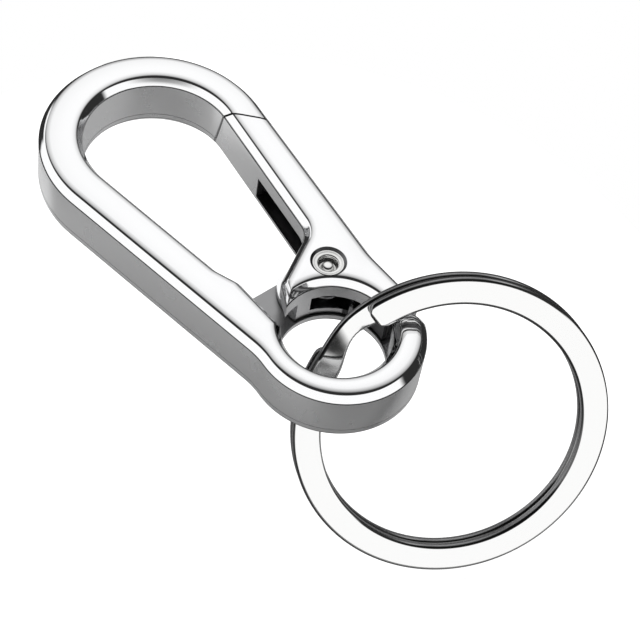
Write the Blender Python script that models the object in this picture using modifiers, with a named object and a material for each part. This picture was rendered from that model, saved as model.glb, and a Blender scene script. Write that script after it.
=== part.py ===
"""Key ring: a cast snap hook with a sprung swinging gate, and a flat-wire split ring in its eye.

The hook lies flat with its front face up. X runs along the hook from its big loop to its eye, Y runs
from the spine to the gate, and Z is the thickness. The origin is on the flat back face, in the middle
of the loop's band at its far end. Sizes are in metres.
"""

import cmath
import math

import bmesh
import bpy
from mathutils import Matrix, Vector

MM = 0.001

# Plate that the hook and its gate are cast from
THICKNESS = 6.4 * MM
CHAMFER_WIDTH = 0.5 * MM
CHAMFER_DEPTH = 0.85 * MM
CROWN_WIDTH = 0.65 * MM
CROWN_DROP = 0.1 * MM
ARC_STEP = math.radians(6)

# Outline of the whole clip, in plan coordinates that start near the loop's centre
LOOP_RADIUS = 11.36 * MM
LOOP_CENTRE_X = 0.6 * MM
LOOP_CENTRE_Y = -0.25 * MM
EYE_X = 28.2 * MM
EYE_Y = -0.5 * MM
EYE_HOLE_RADIUS = 5.2 * MM
EYE_BAND = 2.95 * MM
EYE_RIM_SHIFT_X = 0.1 * MM
EYE_RIM_SHIFT_Y = 0.15 * MM
EYE_SPINE_BULGE = 0.553 * MM
EYE_GATE_BULGE = 0.833 * MM
FLARE_RADIUS = 8.0 * MM

# Opening of the loop
LOOP_OPENING_RADIUS = 7.3 * MM
LOOP_OPENING_SHIFT = 0.55 * MM
SPINE_INNER_TAPER = math.radians(7.25)
GATE_INNER_TAPER = math.radians(9.5)
SHOULDER_START_X = 16.4 * MM
SHOULDER_END_X = 18.8 * MM
SHOULDER_RISE = 0.587 * MM
SHOULDER_RADIUS = 1.6 * MM
WEB_EDGE_REACH = 0.872 * MM
CORNER_RADIUS = 0.4 * MM

# The thin web that closes the clip under the gate's foot
WEB_HOLE_LEDGE = 0.15 * MM
WEB_HOLE_SHIFT = 0.1 * MM
WEB_THICKNESS = 1.5 * MM
WEB_CLEARANCE = 0.15 * MM
WEB_EDGE_CLEARANCE = 0.6 * MM

# Gate: its seams, its foot and the channel in its inner face
TIP_SEAM_X = 2.1 * MM
TIP_SEAM_Y = 7.74 * MM
TIP_SEAM_ANGLE = math.radians(42.7)
SEAM_GAP = 0.12 * MM
TAIL_SEAM_ANGLE = math.radians(72)
ZONE_MARGIN = 0.4 * MM
ZONE_REACH = 3.5 * MM
TAIL_GAP = 0.45 * MM
FOOT_EDGE_ANGLE = math.radians(61)
FOOT_REACH_X = -0.92 * MM
FOOT_REACH_Y = -4.94 * MM
FOOT_END_ANGLE = math.radians(27)
FOOT_END_RADIUS = 1.25 * MM
LOWER_EAR_RADIUS = 4.45 * MM
LOWER_EAR_SETBACK = 0.1 * MM
LOWER_EAR_END = math.radians(300)
LAND_STEP = 0.05 * MM
FRAME_END_RADIUS = 1.2 * MM
FRAME_END_INSET = 0.4 * MM
FRAME_END_TRIM = 0.1 * MM
FRAME_END_INNER_SLOPE = math.radians(25)
FRAME_END_OUTER_SLOPE = math.radians(15)
FOOT_FILLET_RADIUS = 2.6 * MM
CHANNEL_START = 8.7 * MM
CHANNEL_END = 17.5 * MM
CHANNEL_CLEARANCE = 0.576 * MM
CHANNEL_TOP_DEPTH = 2.5 * MM
CHANNEL_WIDTH = 2.6 * MM

# Spring chamber round the rivet, open to the eye
CHAMBER_RADIUS = 2.4 * MM
CHAMBER_TOP_DEPTH = 2.35 * MM
CHAMBER_HEIGHT = 1.75 * MM
MOUTH_START_ANGLE = math.radians(113)
MOUTH_END_ANGLE = math.radians(165.5)
MOUTH_DEPTH = 1.95 * MM

# Hinge rivet
RIVET_EYE_WALL = 2.317 * MM
RIVET_BEARING = math.radians(146.944)
RIVET_RADIUS = 1.1 * MM
RIVET_HEAD_RADIUS = 1.7 * MM
RIVET_HEAD_DEPTH = 0.9 * MM
RIVET_PROUD = 0.12 * MM
RIVET_RIM = 0.3 * MM
RIVET_CRATER_RADIUS = 0.62 * MM
RIVET_CRATER_DEPTH = 1.25 * MM
RIVET_DOME_HEIGHT = 0.4 * MM
RIVET_RUNNING_GAP = 0.07 * MM
RIVET_FIXED_GAP = 0.04 * MM
RIVET_TAIL_RADIUS = 1.6 * MM
RIVET_TAIL_DEPTH = 0.55 * MM
ROUND_STEPS = 40

# Torsion spring
SPRING_WIRE_RADIUS = 0.2 * MM
SPRING_COIL_RADIUS = 1.65 * MM
SPRING_PITCH = 0.85 * MM
SPRING_TURNS = 1.0
SPRING_POINTS_PER_TURN = 10
SPRING_LEG_START = 10.0 * MM
SPRING_ARM_LENGTH = 2.9 * MM
SPRING_HOOK_INSET = 0.35 * MM
SPRING_HOOK_LIFT = 0.2 * MM
GAP_SAMPLES = 8

# Split ring
RING_OUTER_RADIUS = 15.12 * MM
RING_WIRE_WIDTH = 2.67 * MM
RING_WIRE_THICKNESS = 0.92 * MM
RING_TURN_GAP = 0.2 * MM
RING_EDGE = 0.16 * MM
RING_FIRST_END = math.radians(183.1)
RING_JOG_TOP = math.radians(209.1)
RING_JOG_BOTTOM = math.radians(189.1)
RING_SECOND_END = math.radians(203.6)
RING_PINCH = 0.75 * MM
RING_PINCH_MIDDLE = math.radians(193.1)
RING_PINCH_REACH = math.radians(17)
RING_END_ROUND = 0.9 * MM
RING_STATION_STEP = math.radians(5)
RING_FINE_STEP = math.radians(1.5)
END_FULLNESS_SHARE = 0.75
END_STATION_SHARES = (0.0, 0.1, 0.3, 0.6)
RING_LINE_ANGLE = math.radians(57.45)
RING_TILT = math.radians(59.9)
RING_SHIFT_X = 0.79 * MM
RING_SHIFT_Y = -1.16 * MM
RING_DROP = 7.21 * MM

# Points closer than this are one point, and faces within this angle are one face
MERGE = 0.002 * MM
FLAT_ANGLE = math.radians(0.05)
SHARP_ANGLE = math.radians(25)

# Colours and roughness of the metals
CHROME = (0.72, 0.73, 0.74), 0.12
RIVET_NICKEL = (0.62, 0.62, 0.62), 0.2
SPRING_STEEL = (0.35, 0.35, 0.36), 0.3
RING_NICKEL = (0.68, 0.69, 0.7), 0.15

# How far every cutter runs past what it cuts
OVERRUN = 1.0 * MM
FAR = 14.0 * MM

HALF = THICKNESS / 2
WEB_TOP = WEB_THICKNESS - HALF
FOOT_BOTTOM = WEB_TOP + WEB_CLEARANCE
CHAMBER_TOP = HALF - CHAMBER_TOP_DEPTH
CHAMBER_BOTTOM = CHAMBER_TOP - CHAMBER_HEIGHT
CHANNEL_TOP = HALF - CHANNEL_TOP_DEPTH
CHANNEL_BOTTOM = CHANNEL_TOP - CHANNEL_WIDTH
LOOP_BAND_MIDDLE = (LOOP_RADIUS - LOOP_CENTRE_X + LOOP_OPENING_RADIUS - LOOP_OPENING_SHIFT) / 2

# Plan points as complex numbers: X is real, Y imaginary
LOOP_CENTRE = complex(LOOP_CENTRE_X, LOOP_CENTRE_Y)
EYE = complex(EYE_X, EYE_Y)
EYE_RADIUS = EYE_HOLE_RADIUS + EYE_BAND
EYE_RIM_CENTRE = EYE + complex(EYE_RIM_SHIFT_X, EYE_RIM_SHIFT_Y)
TIP_SEAM = complex(TIP_SEAM_X, TIP_SEAM_Y)
RIVET = EYE + cmath.rect(EYE_HOLE_RADIUS + RIVET_EYE_WALL, RIVET_BEARING)
FOOT_END = RIVET + complex(FOOT_REACH_X, FOOT_REACH_Y)
RING_ANCHOR = EYE + complex(RING_SHIFT_X, RING_SHIFT_Y)


def direction(angle):
    """The unit vector at an angle from +X, as a plan point."""
    return cmath.rect(1, angle)


def line(point, angle):
    """A line through a point, as the point and the line's direction."""
    return point, direction(angle)


def tangent_line(centre, radius, angle):
    """The line that touches a circle at the given angle and runs a quarter turn on from it."""
    return centre + radius * direction(angle), direction(angle + math.pi / 2)


def cross(first, second):
    return first.real * second.imag - first.imag * second.real


def crossing(first, second):
    """Where two lines cross."""
    start, along = first
    other, across = second
    return start + along * (cross(other - start, across) / cross(along, across))


def rounded(corners, grow=0.0):
    """Points of a closed outline that runs anticlockwise, from (corner, radius) pairs, grown outwards."""
    pairs = []
    count = len(corners)
    for index, (corner, radius) in enumerate(corners):
        before = corner - corners[index - 1][0]
        after = corners[(index + 1) % count][0] - corner
        turn = cmath.phase(after / before)
        outward = before / abs(before) / 1j
        onward = after / abs(after) / 1j
        miter = (outward + onward) / (1 + (outward * onward.conjugate()).real)
        if not radius:
            pairs.append((corner, miter))
            continue
        side = 1 if turn > 0 else -1
        centre = corner - miter * (radius * side)
        steps = max(1, math.ceil(abs(turn) / ARC_STEP))
        for step in range(steps + 1):
            normal = outward * direction(turn * step / steps)
            pairs.append((centre + normal * (radius * side), normal))
    kept = [pair for index, pair in enumerate(pairs) if abs(pair[0] - pairs[index - 1][0]) > MERGE]
    return [point + normal * grow for point, normal in kept]


def at(point, height):
    """A plan point at a height, as a 3-D vector."""
    return Vector((point.real, point.imag, height))


def new_object(name, mesh, collection):
    thing = bpy.data.objects.new(name, mesh)
    collection.objects.link(thing)
    return thing


def loft(name, sections, collection):
    """A closed solid through sections, each a ring of points with its height, from the lowest up."""
    shape = bmesh.new()
    rings = [[shape.verts.new(at(point, height)) for point in ring] for ring, height in sections]
    for low, high in zip(rings, rings[1:]):
        for index, corner in enumerate(low):
            following = (index + 1) % len(low)
            shape.faces.new((corner, low[following], high[following], high[index]))
    shape.faces.new(rings[0][::-1])
    shape.faces.new(rings[-1])
    mesh = bpy.data.meshes.new(name)
    shape.to_mesh(mesh)
    shape.free()
    return new_object(name, mesh, collection)


def face_edge(side):
    """How far each level of a face's crowned and chamfered edge stands in from the wall, outermost last."""
    return (
        (side * (HALF - CROWN_DROP - CHAMFER_DEPTH), 0.0),
        (side * (HALF - CROWN_DROP), CHAMFER_WIDTH),
        (side * HALF, CHAMFER_WIDTH + CROWN_WIDTH),
    )


def plate(name, corners, collection):
    """A plate of the full thickness, with a chamfer and a crowned strip round each face."""
    levels = face_edge(-1)[::-1] + face_edge(1)
    return loft(name, [(rounded(corners, -inset), height) for height, inset in levels], collection)


def flared_cutter(name, corners, bottom, top, collection):
    """A cutter from bottom to top. Where an end is left None, it flares out through that face's edge."""
    levels = []
    if bottom is None:
        levels += [(-HALF - OVERRUN, CHAMFER_WIDTH + CROWN_WIDTH), *face_edge(-1)[::-1]]
    else:
        levels.append((bottom, 0.0))
    if top is None:
        levels += [*face_edge(1), (HALF + OVERRUN, CHAMFER_WIDTH + CROWN_WIDTH)]
    else:
        levels.append((top, 0.0))
    return loft(name, [(rounded(corners, grow), height) for height, grow in levels], collection)


def prism(name, corners, bottom, top, collection, grow=0.0):
    """A straight cutter or block over an outline."""
    ring = rounded(corners, grow)
    return loft(name, [(ring, bottom), (ring, top)], collection)


def circle(centre, radius):
    """A circle as a square outline whose corners are rounded until they meet."""
    return [(centre + radius * corner, radius) for corner in (-1 - 1j, 1 - 1j, 1 + 1j, -1 + 1j)]


def combine(target, other, operation):
    """Applies a Boolean to the target's mesh at once, and merges the doubled points that it leaves."""
    modifier = target.modifiers.new(operation.lower(), "BOOLEAN")
    modifier.operation = operation
    modifier.object = other
    bpy.context.view_layer.update()
    made = bpy.data.meshes.new_from_object(target.evaluated_get(bpy.context.evaluated_depsgraph_get()))
    target.modifiers.clear()
    target.data = made
    shape = bmesh.new()
    shape.from_mesh(made)
    bmesh.ops.remove_doubles(shape, verts=shape.verts, dist=MERGE)
    shape.to_mesh(made)
    shape.free()


def cut(target, *cutters):
    for cutter in cutters:
        combine(target, cutter, "DIFFERENCE")


def clean(thing):
    """Merges the doubled points and needless edges that the cuts leave on flat faces."""
    shape = bmesh.new()
    shape.from_mesh(thing.data)
    bmesh.ops.remove_doubles(shape, verts=shape.verts, dist=MERGE)
    bmesh.ops.dissolve_limit(shape, angle_limit=FLAT_ANGLE, verts=shape.verts, edges=shape.edges)
    bmesh.ops.triangulate(shape, faces=shape.faces)
    shape.to_mesh(thing.data)
    shape.free()


def outer_line(bulge, side):
    """The line that touches the loop's round, and that the eye's round bulges past by this much."""
    reach = EYE_RIM_CENTRE - LOOP_CENTRE
    swing = math.acos((LOOP_RADIUS - EYE_RADIUS + bulge) / abs(reach))
    return tangent_line(LOOP_CENTRE, LOOP_RADIUS, cmath.phase(reach) + side * swing)


def spine_line():
    return outer_line(EYE_SPINE_BULGE, -1)


def gate_outer_line():
    return outer_line(EYE_GATE_BULGE, 1)


def eye_lower_line():
    """The line between the eye's round and the flare that joins it to the spine, where the two touch."""
    turn = math.acos((EYE_RADIUS - EYE_SPINE_BULGE + FLARE_RADIUS) / (EYE_RADIUS + FLARE_RADIUS))
    angle = cmath.phase(spine_line()[1]) - turn
    return tangent_line(EYE_RIM_CENTRE, EYE_RADIUS, angle - math.pi / 2)


def spine_inner_line():
    return tangent_line(LOOP_OPENING_SHIFT, LOOP_OPENING_RADIUS, SPINE_INNER_TAPER - math.pi / 2)


def gate_inner_line():
    return tangent_line(LOOP_OPENING_SHIFT, LOOP_OPENING_RADIUS, math.pi / 2 - GATE_INNER_TAPER)


def foot_edge_line():
    return line(FOOT_END, math.pi - FOOT_EDGE_ANGLE)


def web_edge_x():
    return crossing(foot_edge_line(), gate_inner_line()).real + WEB_EDGE_REACH


def clip_outline():
    """The outer outline of the closed clip: loop, spine, eye and gate in one sweep."""
    far_end = line(LOOP_CENTRE - LOOP_RADIUS, math.pi / 2)
    eye_end = line(EYE_RIM_CENTRE + EYE_RADIUS, math.pi / 2)
    eye_top = line(EYE_RIM_CENTRE + EYE_RADIUS * 1j, 0)
    return [
        (crossing(far_end, spine_line()), LOOP_RADIUS),
        (crossing(spine_line(), eye_lower_line()), FLARE_RADIUS),
        (crossing(eye_lower_line(), eye_end), EYE_RADIUS),
        (crossing(eye_end, eye_top), EYE_RADIUS),
        (crossing(eye_top, gate_outer_line()), FLARE_RADIUS),
        (crossing(gate_outer_line(), far_end), LOOP_RADIUS),
    ]


def loop_corners():
    """Corners shared by both levels of the loop's opening: its far end, the spine and the shoulder."""
    far_end = line(LOOP_OPENING_SHIFT - LOOP_OPENING_RADIUS, math.pi / 2)
    shoulder = line(SHOULDER_START_X, math.pi / 2)
    return [
        (crossing(gate_inner_line(), far_end), LOOP_OPENING_RADIUS),
        (crossing(far_end, spine_inner_line()), LOOP_OPENING_RADIUS),
        (crossing(spine_inner_line(), shoulder), SHOULDER_RADIUS),
    ]


def shoulder_end():
    """Where the shoulder, which rises from the spine's inner face, reaches the eye's level."""
    return crossing(spine_inner_line(), line(SHOULDER_END_X, math.pi / 2)) + SHOULDER_RISE * 1j


def upper_opening():
    """The opening above the web: it runs on between the spine and the gate's foot into the eye."""
    hole_side = line(EYE - EYE_HOLE_RADIUS / 2, math.pi / 2)
    return loop_corners() + [
        (shoulder_end(), SHOULDER_RADIUS),
        (crossing(line(shoulder_end(), 0), hole_side), 0.0),
        (FOOT_END + ZONE_REACH * direction(-FOOT_END_ANGLE), 0.0),
        (FOOT_END, FOOT_END_RADIUS),
        (crossing(foot_edge_line(), gate_inner_line()), FOOT_FILLET_RADIUS),
    ]


def lower_opening():
    """The opening at the web's level: it stops at the web's straight edge."""
    web_edge = line(web_edge_x(), math.pi / 2)
    return loop_corners() + [
        (crossing(line(shoulder_end(), 0), web_edge), CORNER_RADIUS),
        (crossing(web_edge, foot_edge_line()), CORNER_RADIUS),
        (crossing(foot_edge_line(), gate_inner_line()), FOOT_FILLET_RADIUS),
    ]


def sharp(*corners):
    """An outline whose corners are all left sharp."""
    return [(corner, 0.0) for corner in corners]


def foot_zone():
    """Round the gate's foot: under its end, through the eye's hole, and out along the tail's seam."""
    tail = direction(TAIL_SEAM_ANGLE)
    under = FOOT_END - ZONE_MARGIN * 1j
    return [
        under,
        under + ZONE_REACH * direction(-FOOT_END_ANGLE),
        EYE + EYE_HOLE_RADIUS / 2 * tail,
        EYE + FAR * tail,
    ]


def tip_zone():
    """Round the gate's bar: out along the tip's seam, and back inside the loop."""
    seam = direction(TIP_SEAM_ANGLE)
    return [TIP_SEAM + FAR * seam, TIP_SEAM - LOOP_OPENING_RADIUS / 2 * seam, FOOT_END - LOOP_OPENING_RADIUS]


def bar_zone():
    """The gate's zone on the loop's side of the web's edge, where the gate has the full thickness."""
    level = complex(web_edge_x(), FOOT_END.imag)
    return sharp(*tip_zone(), level, level + FAR * 1j)


def above_web_zone():
    """The gate's zone above the web. It starts inside the bar's zone."""
    start = web_edge_x() - OVERRUN
    return sharp(start + FAR * 1j, complex(start, FOOT_END.imag - ZONE_MARGIN), *foot_zone())


def make_material(name, metal):
    colour, roughness = metal
    material = bpy.data.materials.new(name)
    material.use_nodes = True
    shader = material.node_tree.nodes["Principled BSDF"]
    shader.inputs["Base Color"].default_value = (*colour, 1.0)
    shader.inputs["Roughness"].default_value = roughness
    shader.inputs["Metallic"].default_value = 1.0
    return material


def finish(thing, material, parent, pivot):
    """Gives a piece its material and smooth shading, and puts its origin on its pivot."""
    clean(thing)
    thing.data.transform(Matrix.Translation(-pivot))
    thing.data.materials.clear()
    thing.data.materials.append(material)
    thing.data.shade_smooth()
    thing.data.set_sharp_from_angle(angle=SHARP_ANGLE)
    thing.parent = parent
    thing.location = pivot


def make_opening_cutters(cutters):
    """The cutters that the frame and the gate share, so that their edges run on flush."""
    web_hole_radius = EYE_HOLE_RADIUS - WEB_HOLE_LEDGE
    web_hole_centre = EYE - WEB_HOLE_SHIFT * (RIVET - EYE) / abs(RIVET - EYE)
    return [
        flared_cutter("loop_opening_above_web", upper_opening(), WEB_TOP, None, cutters),
        flared_cutter("loop_opening_at_web", lower_opening(), None, WEB_TOP, cutters),
        flared_cutter("eye_hole_above_web", circle(EYE, EYE_HOLE_RADIUS), WEB_TOP, None, cutters),
        flared_cutter("eye_hole_at_web", circle(web_hole_centre, web_hole_radius), None, WEB_TOP, cutters),
    ]


def make_hook_frame(parts, cutters, openings):
    """The cast hook: loop, nose, spine, eye and the web under the gate's foot."""
    frame = plate("hook_frame", clip_outline(), parts)
    cut(frame, *openings)
    cut(
        frame,
        prism("gate_bar_space", bar_zone(), -HALF - OVERRUN, HALF + OVERRUN, cutters),
        prism("gate_foot_space", above_web_zone(), WEB_TOP, HALF + OVERRUN, cutters),
        prism(
            "rivet_seat",
            circle(RIVET, RIVET_RADIUS + RIVET_FIXED_GAP),
            -HALF - OVERRUN,
            HALF,
            cutters,
        ),
        rivet_tail_sink(cutters),
        frame_end_cutter(cutters),
    )
    return frame


def frame_end_cutter(cutters):
    """Rounds and chamfers the free end of the frame's band, where the gate's tail meets it."""
    radial = direction(TAIL_SEAM_ANGLE)
    around = radial * 1j
    inner = EYE_HOLE_RADIUS + FRAME_END_INSET
    outer = EYE_RADIUS - FRAME_END_INSET
    reach = FRAME_END_RADIUS * 2
    inner_reach = inner - reach * math.tan(FRAME_END_INNER_SLOPE)
    outer_reach = outer + reach * math.tan(FRAME_END_OUTER_SLOPE)
    places = (
        (inner_reach - OVERRUN, -reach, 0.0),
        (inner_reach, -reach, 0.0),
        (inner, -FRAME_END_TRIM, FRAME_END_RADIUS),
        (outer, -FRAME_END_TRIM, FRAME_END_RADIUS),
        (outer_reach, -reach, 0.0),
        (outer_reach + OVERRUN, -reach, 0.0),
        (outer_reach + OVERRUN, OVERRUN, 0.0),
        (inner_reach - OVERRUN, OVERRUN, 0.0),
    )
    corners = [(EYE + radial * out + around * past, radius) for out, past, radius in places]
    return flared_cutter("frame_end", corners, WEB_TOP + LAND_STEP, None, cutters)


def rivet_tail_sink(cutters):
    """The countersink on the back of the web that the rivet's tail fills."""
    slope = (RIVET_TAIL_RADIUS - RIVET_RADIUS) / RIVET_TAIL_DEPTH
    low = rounded(circle(RIVET, RIVET_TAIL_RADIUS + RIVET_FIXED_GAP + slope * OVERRUN))
    high = rounded(circle(RIVET, RIVET_RADIUS + RIVET_FIXED_GAP))
    sections = [(low, -HALF - OVERRUN), (high, -HALF + RIVET_TAIL_DEPTH)]
    return loft("rivet_tail_sink", sections, cutters)


def rivet_head_sink(cutters):
    """The countersink in the gate's front ear that the rivet's head turns in."""
    slope = (RIVET_HEAD_RADIUS - RIVET_RADIUS) / RIVET_HEAD_DEPTH
    low = rounded(circle(RIVET, RIVET_RADIUS + RIVET_RUNNING_GAP))
    high = rounded(circle(RIVET, RIVET_HEAD_RADIUS + RIVET_RUNNING_GAP + slope * OVERRUN))
    sections = [(low, HALF - RIVET_HEAD_DEPTH), (high, HALF + OVERRUN)]
    return loft("rivet_head_sink", sections, cutters)


def channel_corners():
    """The straight channel along the gate's inner face, which holds the spring's long leg."""
    touch, along = gate_inner_line()
    along = -along
    inward = along * 1j
    start = touch + along * (CHANNEL_START - LOOP_OPENING_SHIFT)
    end = touch + along * (CHANNEL_END - LOOP_OPENING_SHIFT)
    bottom = RIVET + inward * (SPRING_COIL_RADIUS + SPRING_WIRE_RADIUS + CHANNEL_CLEARANCE), along
    return sharp(
        start - inward * OVERRUN,
        end - inward * OVERRUN,
        crossing((end, inward), bottom),
        crossing((start, inward), bottom),
    )


def passage_corners():
    """The way for the spring's leg from the channel into the chamber round the rivet."""
    touch, along = gate_inner_line()
    along = -along
    inward = along * 1j
    start = touch + along * (CHANNEL_END - LOOP_OPENING_SHIFT - OVERRUN), inward
    top = RIVET + inward * (SPRING_COIL_RADIUS + CHAMBER_RADIUS) / 2
    return sharp(crossing(start, (RIVET, along)), RIVET, top, crossing(start, (top, along)))


def mouth_corners():
    """The slot that opens the spring's chamber to the eye, following the eye's curve."""
    steps = math.ceil((MOUTH_END_ANGLE - MOUTH_START_ANGLE) / ARC_STEP)
    span = MOUTH_END_ANGLE - MOUTH_START_ANGLE
    rays = [direction(MOUTH_START_ANGLE + span * step / steps) for step in range(steps + 1)]
    outer = [EYE + (EYE_HOLE_RADIUS + MOUTH_DEPTH) * ray for ray in rays]
    inner = [EYE + (EYE_HOLE_RADIUS - OVERRUN) * ray for ray in reversed(rays)]
    return sharp(*outer, *inner)


def ear_rim(radius):
    """Points round the rivet on the side of the foot's end, from the ear's straight edge on."""
    start = math.pi + math.acos((RIVET.real - web_edge_x() + LOWER_EAR_SETBACK) / LOWER_EAR_RADIUS)
    steps = math.ceil((LOWER_EAR_END - start) / ARC_STEP)
    span = LOWER_EAR_END - start
    return [RIVET + radius * direction(start + span * step / steps) for step in range(steps + 1)]


def foot_end_relief(cutters):
    """Below the front ear, the foot's end is cut back to the lower ear's round."""
    ring = ear_rim(LOWER_EAR_RADIUS + FAR) + ear_rim(LOWER_EAR_RADIUS)[::-1]
    return prism("foot_end_relief", sharp(*ring), WEB_TOP - OVERRUN, CHAMBER_TOP, cutters)


def lower_ear(cutters, openings):
    """The thin round ear under the spring, trimmed to the eye's wall."""
    edge_x = web_edge_x() - LOWER_EAR_SETBACK
    ring = sharp(complex(edge_x, RIVET.imag), *ear_rim(LOWER_EAR_RADIUS), RIVET)
    ear = prism("lower_ear", ring, FOOT_BOTTOM + LAND_STEP, CHAMBER_BOTTOM, cutters)
    cut(ear, openings[2])
    return ear


def make_gate(parts, cutters, openings):
    """The swinging gate: a bar with a channel in its inner face, and a foot with two ears."""
    gate = plate("gate", clip_outline(), parts)
    outline = sharp(*tip_zone(), *foot_zone())
    zone = prism("gate_zone", outline, -HALF - OVERRUN, HALF + OVERRUN, cutters, -SEAM_GAP)
    combine(gate, zone, "INTERSECT")
    cut(gate, *openings)
    cut(gate, foot_end_relief(cutters))
    combine(gate, lower_ear(cutters, openings), "UNION")
    step_x = web_edge_x() - WEB_EDGE_CLEARANCE
    under = sharp(step_x - FAR * 1j, EYE_X + FAR - FAR * 1j, EYE_X + FAR + FAR * 1j, step_x + FAR * 1j)
    tail = direction(TAIL_SEAM_ANGLE)
    tail_strip = sharp(
        EYE - tail * 1j * OVERRUN,
        EYE - tail * 1j * OVERRUN + tail * FAR,
        EYE + tail * 1j * TAIL_GAP + tail * FAR,
        EYE + tail * 1j * TAIL_GAP,
    )
    cut(
        gate,
        prism("under_foot", under, -HALF - OVERRUN, FOOT_BOTTOM, cutters),
        prism("tail_gap", tail_strip, -HALF - OVERRUN, HALF + OVERRUN, cutters),
        prism("channel", channel_corners(), CHANNEL_BOTTOM, CHANNEL_TOP, cutters),
        prism("spring_chamber", circle(RIVET, CHAMBER_RADIUS), CHAMBER_BOTTOM, CHAMBER_TOP, cutters),
        prism("spring_passage", passage_corners(), CHAMBER_BOTTOM, CHANNEL_TOP, cutters),
        prism("chamber_mouth", mouth_corners(), CHAMBER_BOTTOM, CHAMBER_TOP, cutters),
        prism(
            "rivet_bore",
            circle(RIVET, RIVET_RADIUS + RIVET_RUNNING_GAP),
            -HALF - OVERRUN,
            HALF + OVERRUN,
            cutters,
        ),
        rivet_head_sink(cutters),
    )
    return gate


def make_hinge_rivet(parts):
    """A tubular rivet: a flared head with a crater on the front, and a countersunk tail on the back."""
    head_top = HALF + RIVET_PROUD
    crater_floor = head_top - RIVET_CRATER_DEPTH
    rim_middle = RIVET_HEAD_RADIUS - RIVET_RIM / 2
    profile = (
        (0, crater_floor + RIVET_DOME_HEIGHT),
        (RIVET_CRATER_RADIUS / 2, crater_floor + RIVET_DOME_HEIGHT * 2 / 3),
        (RIVET_CRATER_RADIUS, crater_floor),
        (RIVET_HEAD_RADIUS - RIVET_RIM * 2, head_top - RIVET_RIM),
        (RIVET_HEAD_RADIUS - RIVET_RIM, head_top - RIVET_RIM / 4),
        (rim_middle, head_top),
        (RIVET_HEAD_RADIUS, head_top - RIVET_PROUD),
        (RIVET_RADIUS, HALF - RIVET_HEAD_DEPTH),
        (RIVET_RADIUS, RIVET_TAIL_DEPTH - HALF),
        (RIVET_TAIL_RADIUS, -HALF),
        (0, -HALF),
    )
    shape = bmesh.new()
    points = [shape.verts.new((radius, 0, height)) for radius, height in profile]
    for start, end in zip(points, points[1:]):
        shape.edges.new((start, end))
    mesh = bpy.data.meshes.new("hinge_rivet")
    shape.to_mesh(mesh)
    shape.free()
    rivet = new_object("hinge_rivet", mesh, parts)
    screw = rivet.modifiers.new("turn", "SCREW")
    screw.steps = ROUND_STEPS
    screw.render_steps = ROUND_STEPS
    screw.use_merge_vertices = True
    screw.merge_threshold = MERGE
    bpy.context.view_layer.update()
    rivet.data = bpy.data.meshes.new_from_object(rivet.evaluated_get(bpy.context.evaluated_depsgraph_get()))
    rivet.modifiers.clear()
    rivet.data.transform(Matrix.Translation(at(RIVET, 0)))
    return rivet


def spring_route():
    """The spring's wire: a leg in the gate's channel, the coil, and an arm that hooks on the web's rim."""
    start_angle = math.pi / 2 - GATE_INNER_TAPER
    middle = (CHAMBER_TOP + CHAMBER_BOTTOM) / 2
    rise = SPRING_PITCH * SPRING_TURNS
    steps = round(SPRING_TURNS * SPRING_POINTS_PER_TURN)
    coil = []
    for step in range(steps + 1):
        share = step / steps
        flat = RIVET + SPRING_COIL_RADIUS * direction(start_angle - 2 * math.pi * SPRING_TURNS * share)
        coil.append(at(flat, middle + rise * (share - 0.5)))
    along = direction(start_angle + math.pi / 2)
    leg = at(along * (RIVET.real - SPRING_LEG_START), 0) + coil[0]
    arm_way = direction(start_angle - 2 * math.pi * SPRING_TURNS - math.pi / 2)
    arm_flat = complex(coil[-1].x, coil[-1].y) + arm_way * SPRING_ARM_LENGTH
    arm = at(arm_flat, coil[-1].z)
    inward = (arm_flat - EYE) / abs(arm_flat - EYE)
    hook_flat = EYE + inward * (EYE_HOLE_RADIUS - SPRING_HOOK_INSET)
    hook_top = at(hook_flat, arm.z - SPRING_WIRE_RADIUS)
    hook_end = at(hook_flat, WEB_TOP + SPRING_HOOK_LIFT)
    return [leg, *coil, arm, hook_top, hook_end]


def least_gap(route):
    """The least distance between the wire's surface and itself, half a curl or more away along it."""
    least = math.inf
    skip = GAP_SAMPLES * SPRING_POINTS_PER_TURN // 2
    steps = range(GAP_SAMPLES)
    dense = [start.lerp(end, step / GAP_SAMPLES) for start, end in zip(route, route[1:]) for step in steps]
    for index, point in enumerate(dense):
        for other in dense[index + skip:]:
            least = min(least, (point - other).length)
    return least - 2 * SPRING_WIRE_RADIUS


def make_gate_spring(parts):
    """The torsion spring round the rivet, as one unbroken tube."""
    route = spring_route()
    curve = bpy.data.curves.new("gate_spring", "CURVE")
    curve.dimensions = "3D"
    curve.bevel_depth = SPRING_WIRE_RADIUS
    curve.bevel_resolution = 1
    curve.use_fill_caps = True
    spline = curve.splines.new("POLY")
    spline.points.add(len(route) - 1)
    for point, place in zip(spline.points, route):
        point.co = (*place, 1)
    guide = new_object("spring_guide", curve, parts)
    bpy.context.view_layer.update()
    mesh = bpy.data.meshes.new_from_object(guide.evaluated_get(bpy.context.evaluated_depsgraph_get()))
    bpy.data.objects.remove(guide)
    print("Least gap of the spring's coil to itself, in mm:", round(least_gap(route) / MM, 2))
    return new_object("gate_spring", mesh, parts)


def wire_section(outer, inner):
    """The flat wire's section with eased edges, as (outwards, upwards) pairs, between two half widths."""
    tall = RING_WIRE_THICKNESS / 2
    return (
        (outer - RING_EDGE, -tall),
        (outer, -tall + RING_EDGE),
        (outer, tall - RING_EDGE),
        (outer - RING_EDGE, tall),
        (RING_EDGE - inner, tall),
        (-inner, tall - RING_EDGE),
        (-inner, -tall + RING_EDGE),
        (RING_EDGE - inner, -tall),
    )


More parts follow.
